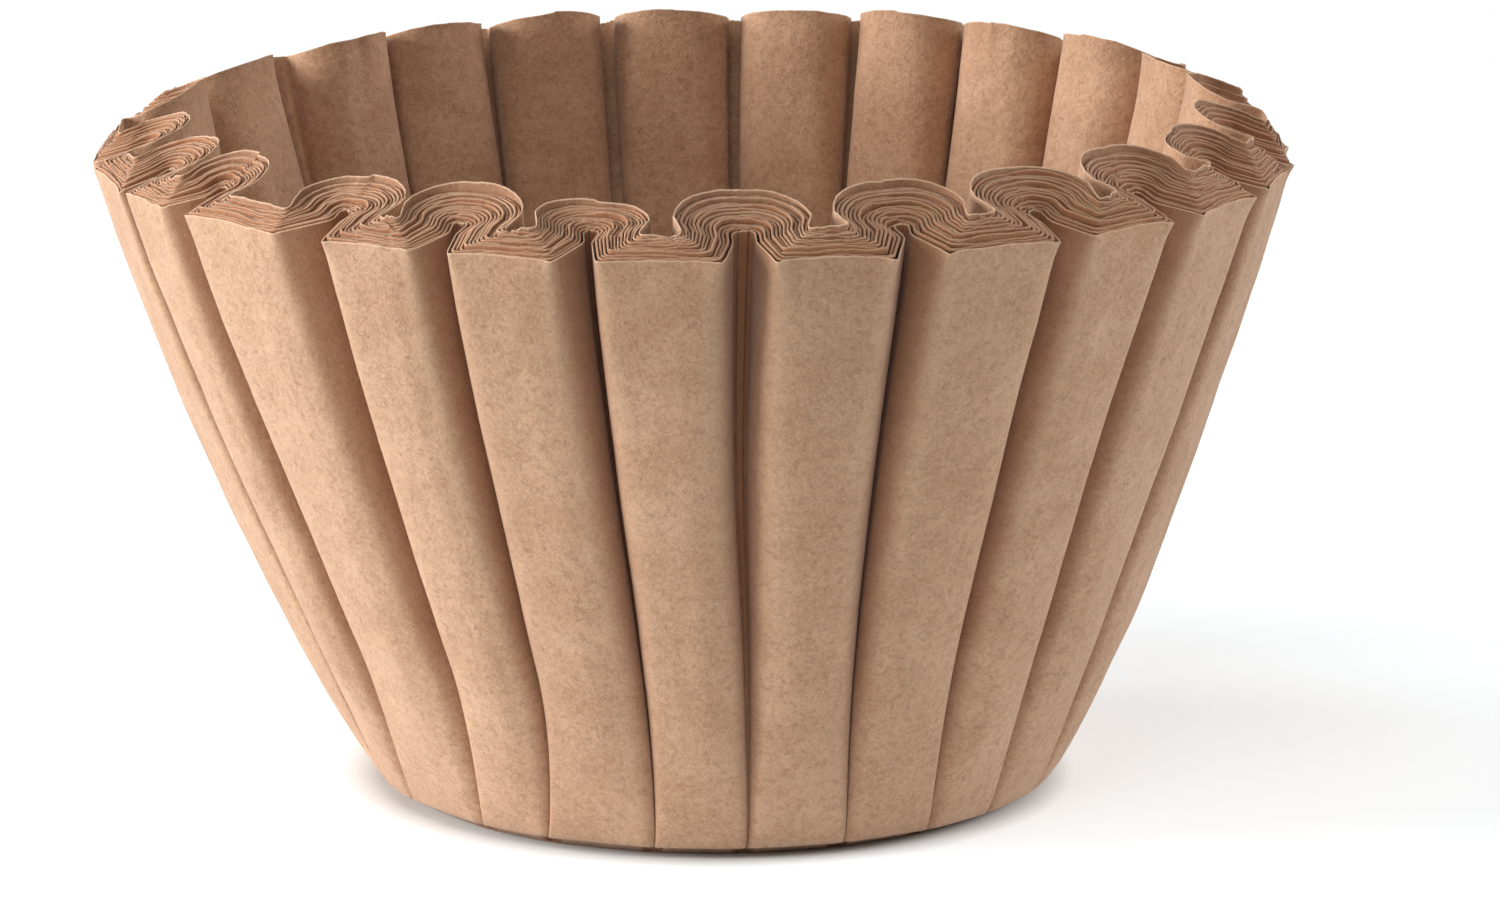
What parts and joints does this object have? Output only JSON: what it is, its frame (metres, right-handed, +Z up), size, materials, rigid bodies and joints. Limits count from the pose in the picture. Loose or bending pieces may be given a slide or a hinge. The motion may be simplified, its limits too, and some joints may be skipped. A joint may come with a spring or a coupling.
{
  "type": "nest of pleated paper coffee filters",
  "caption": "Nest of brown paper basket filters for coffee, pressed together: a flat base, a flared wall with deep pleats and a rim of stepped cut edges.",
  "frame": {"origin": "centre of the flat base, on the table", "axes": "+Z up along the cup's axis; the picture looks along +Y, from a little above"},
  "size_m": [0.1216, 0.1216, 0.0711],
  "materials": {
    "filter_paper": "unbleached brown filter paper, matte and fibrous"
  },
  "bodies": {
    "root": {"nested_filters": "filter_paper"}
  },
  "joints": []
}
